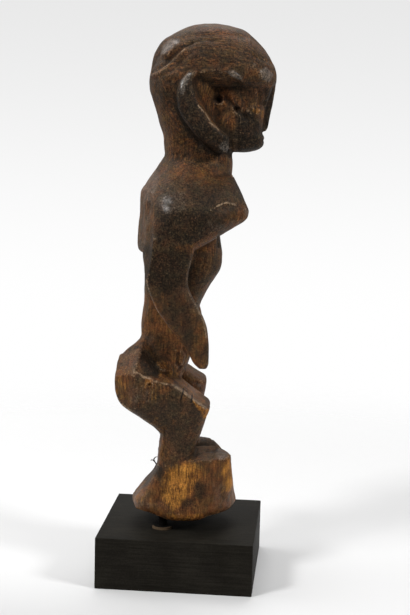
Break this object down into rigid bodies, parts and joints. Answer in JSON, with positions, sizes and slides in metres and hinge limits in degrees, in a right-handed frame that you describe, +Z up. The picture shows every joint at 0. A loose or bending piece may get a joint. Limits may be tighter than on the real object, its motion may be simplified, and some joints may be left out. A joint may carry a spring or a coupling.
{
  "type": "mumuye standing figure",
  "caption": "Carved dark wood standing figure with large ear flanges, hanging arms and bent legs on a round foot block, pinned above a square black wooden plinth.",
  "frame": {"origin": "centre of the plinth's underside", "axes": "+X the way the figure faces, parallel to the plinth's sides; +Y the figure's own left; +Z up"},
  "size_m": [0.0778, 0.075, 0.2669],
  "materials": {
    "carved_wood": "hand-carved hardwood with a dark handled patina, worn to ochre on edges and on the foot block",
    "pin_metal": "dull brass",
    "black_wood": "matt black stained wood with faint grain"
  },
  "bodies": {
    "root": {"figure": "carved_wood", "mount_pin": "pin_metal", "plinth": "black_wood"}
  },
  "joints": []
}
